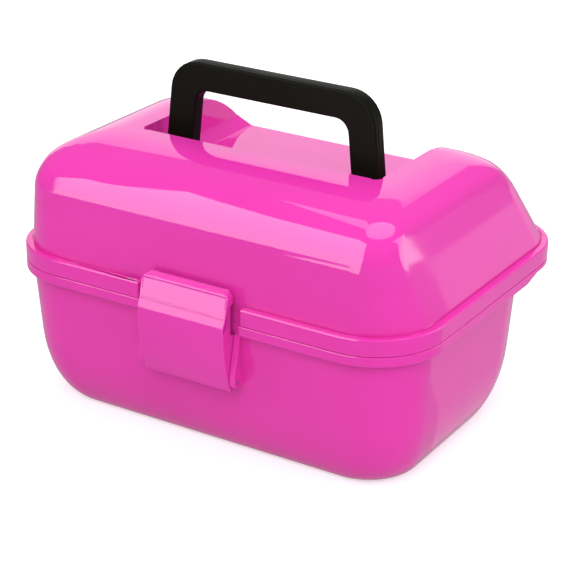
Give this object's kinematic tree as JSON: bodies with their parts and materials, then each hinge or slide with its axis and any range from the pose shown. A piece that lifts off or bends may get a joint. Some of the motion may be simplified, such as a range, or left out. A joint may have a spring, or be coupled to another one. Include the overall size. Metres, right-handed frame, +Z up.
{
  "type": "tackle box",
  "caption": "Moulded carry box with a hinged domed lid, a fold-down handle set in a recess, a front drop latch and a cantilever tray that rises as the lid opens.",
  "frame": {"origin": "middle of the flat underside that the box stands on", "axes": "+Z up, -Y towards the latch, +X to the right of someone who faces the latch"},
  "size_m": [0.28, 0.2299, 0.2106],
  "materials": {
    "pink_shell": "glossy moulded magenta pink",
    "pink_latch": "glossy moulded magenta pink",
    "black_handle": "satin moulded black",
    "white_tray": "soft moulded off-white",
    "zinc_steel": "zinc plated"
  },
  "bodies": {
    "base": {"base_shell": "pink_shell", "latch_pin": "zinc_steel", "hinge_pin_left": "zinc_steel", "hinge_pin_right": "zinc_steel", "base_rivet_left": "zinc_steel", "base_rivet_right": "zinc_steel"},
    "lid": {"lid_shell": "pink_shell", "handle_pin_left": "black_handle", "handle_pin_right": "black_handle", "lid_rivet_left": "zinc_steel", "lid_rivet_right": "zinc_steel"},
    "latch": {"latch_plate": "pink_latch"},
    "handle": {"handle": "black_handle"},
    "arm_left": {"swing_arm_left": "zinc_steel"},
    "arm_right": {"swing_arm_right": "zinc_steel"},
    "tray": {"tray": "white_tray", "tray_rivet_left": "zinc_steel", "tray_rivet_right": "zinc_steel", "front_divider_left": "white_tray", "front_divider_right": "white_tray", "back_divider_left": "white_tray", "back_divider_middle": "white_tray", "back_divider_right": "white_tray"}
  },
  "joints": [
    {"name": "lid_hinge", "type": "hinge", "parent": "base", "child": "lid", "pos_m": [0, 0.109, 0.09315], "axis": [-1, 0, 0], "range_deg": [0, 100]},
    {"name": "handle_fold", "type": "hinge", "parent": "lid", "child": "handle", "pos_m": [0, -0.018, 0.1448], "axis": [-1, 0, 0], "range_deg": [-30, 90]},
    {"name": "latch_swing", "type": "hinge", "parent": "base", "child": "latch", "pos_m": [0, -0.108, 0.0572], "axis": [1, 0, 0], "range_deg": [0, 115]},
    {"name": "arm_left_swing", "type": "hinge", "parent": "base", "child": "arm_left", "pos_m": [-0.1253, 0.043, 0.07555], "axis": [-1, 0, 0], "range_deg": [0, 100]},
    {"name": "arm_right_swing", "type": "hinge", "parent": "base", "child": "arm_right", "pos_m": [0.1253, 0.043, 0.07555], "axis": [-1, 0, 0], "range_deg": [0, 100]},
    {"name": "tray_level", "type": "hinge", "parent": "arm_left", "child": "tray", "pos_m": [-0.1253, -0.03, 0.08], "axis": [-1, 0, 0], "range_deg": [-100, 0]}
  ],
  "couplings": [
    {"joint": "arm_left_swing", "follows": "lid_hinge", "ratio": 1},
    {"joint": "arm_right_swing", "follows": "lid_hinge", "ratio": 1},
    {"joint": "tray_level", "follows": "lid_hinge", "ratio": -1}
  ]
}
